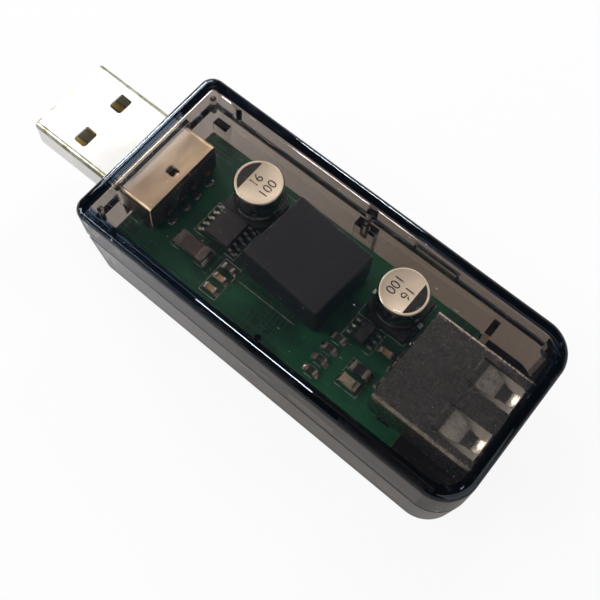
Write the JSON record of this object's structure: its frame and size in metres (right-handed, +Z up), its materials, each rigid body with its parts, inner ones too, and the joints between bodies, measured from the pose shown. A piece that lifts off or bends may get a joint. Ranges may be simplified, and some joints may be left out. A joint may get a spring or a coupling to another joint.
{
  "type": "usb isolator",
  "caption": "Stick-shaped isolator adapter in a smoked see-through case, with a flat metal plug at one end, a socket at the other and a populated circuit board inside.",
  "frame": {"origin": "centre of the casing's flat underside", "axes": "+X from the plug end towards the socket end, +Y across the casing, +Z up through the clear top"},
  "size_m": [0.0691, 0.0256, 0.014],
  "materials": {
    "smoked_case": "smoked see-through polycarbonate, glossy",
    "green_board": "green solder mask",
    "plated_steel": "nickel plated, lightly brushed",
    "white_insulator": "moulded",
    "gold_contact": "gold plated",
    "tinned_lead": "tinned",
    "aluminium_can": "satin",
    "black_plastic": "moulded",
    "black_ceramic": "chip resistor body",
    "brown_ceramic": "chip capacitor body",
    "red_ceramic": "fuse body",
    "led_resin": "clear resin over a white body"
  },
  "bodies": {
    "root": {"case_bottom_shell": "smoked_case", "case_top_shell": "smoked_case", "circuit_board": "green_board", "usb_plug_shell": "plated_steel", "usb_plug_insulator": "white_insulator", "usb_plug_contact_1": "gold_contact", "usb_plug_contact_2": "gold_contact", "usb_plug_contact_3": "gold_contact", "usb_plug_contact_4": "gold_contact", "usb_socket_shell": "plated_steel", "usb_socket_insulator": "white_insulator", "usb_socket_contact_1": "gold_contact", "usb_socket_contact_2": "gold_contact", "usb_socket_contact_3": "gold_contact", "usb_socket_contact_4": "gold_contact", "power_converter_block": "black_plastic", "power_converter_pin_1": "tinned_lead", "power_converter_pin_2": "tinned_lead", "power_converter_pin_3": "tinned_lead", "power_converter_pin_4": "tinned_lead", "capacitor_can_1": "aluminium_can", "capacitor_can_2": "aluminium_can", "capacitor_base_1": "black_plastic", "capacitor_base_2": "black_plastic", "capacitor_1_lead_plus": "tinned_lead", "capacitor_1_lead_minus": "tinned_lead", "capacitor_2_lead_plus": "tinned_lead", "capacitor_2_lead_minus": "tinned_lead", "usb_line_chip": "black_plastic", "regulator_chip": "black_plastic", "isolator_chip": "black_plastic", "resettable_fuse": "red_ceramic", "series_resistor": "black_ceramic", "ceramic_capacitor_1": "brown_ceramic", "ceramic_capacitor_2": "brown_ceramic", "chip_resistor_1": "black_ceramic", "chip_resistor_2": "black_ceramic", "chip_resistor_3": "black_ceramic", "chip_resistor_4": "black_ceramic", "protection_diode": "black_plastic", "socket_side_capacitor": "brown_ceramic", "status_led": "led_resin"}
  },
  "joints": []
}
